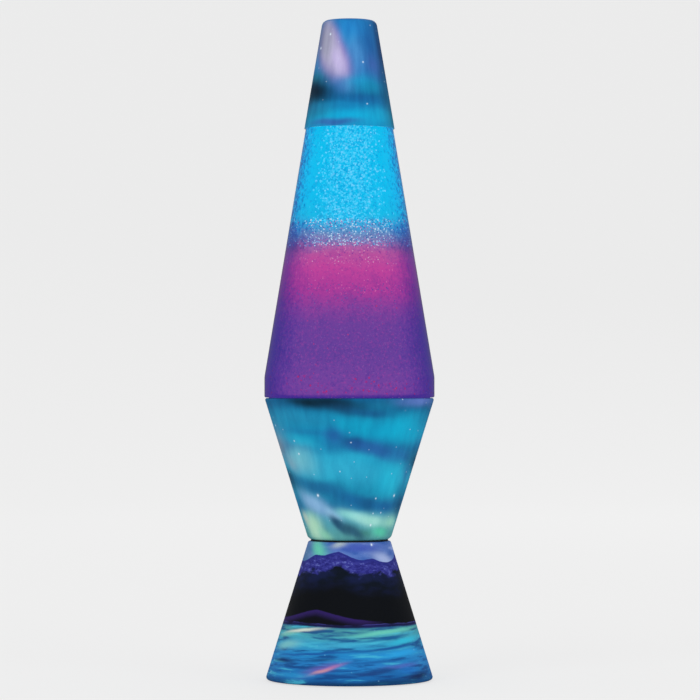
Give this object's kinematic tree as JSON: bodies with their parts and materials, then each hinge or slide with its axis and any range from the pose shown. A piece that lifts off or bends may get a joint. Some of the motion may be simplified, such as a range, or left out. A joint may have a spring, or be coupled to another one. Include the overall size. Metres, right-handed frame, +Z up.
{
  "type": "lava lamp",
  "caption": "Glitter-filled lava lamp: printed two-cone metal base with bulb and socket, tapered glass globe of cyan and purple, loose printed metal cap.",
  "frame": {"origin": "middle of the feet's plane, on the lamp's axis", "axes": "+Z up along the lamp's axis, -Y the front that shows the artwork's middle, +Y the back with the cord inlet, +X to the right seen from the front"},
  "size_m": [0.0949, 0.095, 0.3683],
  "materials": {
    "foot_rubber": "matt",
    "black_cover": "fine grain, pressed board or moulded plastic",
    "lake_print": "printed film under satin lacquer",
    "black_rubber": "matt",
    "aurora_print": "printed film under satin lacquer",
    "sky_print": "printed film under satin lacquer",
    "zinc_steel": "bright zinc plate",
    "socket_ceramic": "glazed",
    "contact_brass": "bright",
    "contact_bronze": "satin",
    "nickel_plate": "nickel plated",
    "brown_insulation": "satin",
    "white_insulation": "satin",
    "splice_nylon": "translucent",
    "solder": "dull",
    "black_glass": "gloss",
    "bulb_aluminium": "rolled",
    "bulb_glass": "clear",
    "stem_glass": "clear",
    "nickel_wire": "satin",
    "hot_filament": "glowing",
    "globe_glass": "translucent colour spray, cyan over magenta over purple",
    "liquid": "clear dyed water",
    "glitter_flake": "pearl foil",
    "liner": "matt",
    "gold_tinplate": "gold lacquer"
  },
  "bodies": {
    "base": {"foot_pad_1": "foot_rubber", "foot_pad_2": "foot_rubber", "foot_pad_3": "foot_rubber", "foot_pad_4": "foot_rubber", "bottom_cover": "black_cover", "lower_base_cone": "lake_print", "cord_gland": "black_rubber", "waist_gasket": "black_rubber", "upper_base_cone": "aurora_print", "socket_bracket": "zinc_steel", "waist_screws": "zinc_steel", "waist_washers": "zinc_steel", "waist_nuts": "zinc_steel", "socket_body": "socket_ceramic", "socket_screws": "zinc_steel", "socket_shell": "contact_brass", "centre_contact": "contact_bronze", "contact_rivet": "contact_brass", "terminal_plate_1": "contact_brass", "terminal_plate_2": "nickel_plate", "terminal_screws": "contact_brass", "live_lead": "brown_insulation", "neutral_lead": "white_insulation", "splice_cap_1": "splice_nylon", "splice_cap_2": "splice_nylon"},
    "bulb": {"bulb_tip": "solder", "bulb_insulator": "black_glass", "bulb_screw_shell": "bulb_aluminium", "bulb_glass": "bulb_glass", "bulb_stem": "stem_glass", "bulb_wires": "nickel_wire", "bulb_filament": "hot_filament"},
    "globe": {"globe_glass": "globe_glass", "liquid_fill": "liquid", "glitter": "glitter_flake", "crown_liner": "liner", "crown_cap": "gold_tinplate"},
    "cap": {"cap_shell": "sky_print"}
  },
  "joints": [
    {"name": "globe_lift", "type": "slide", "parent": "base", "child": "globe", "axis": [0, 0, 1], "range_m": [0, 0.06]},
    {"name": "cap_lift", "type": "slide", "parent": "globe", "child": "cap", "axis": [0, 0, 1], "range_m": [0, 0.07]},
    {"name": "bulb_turn", "type": "hinge", "parent": "base", "child": "bulb", "pos_m": [0, 0, 0.082], "axis": [0, 0, 1], "range_deg": [0, 1350]}
  ]
}
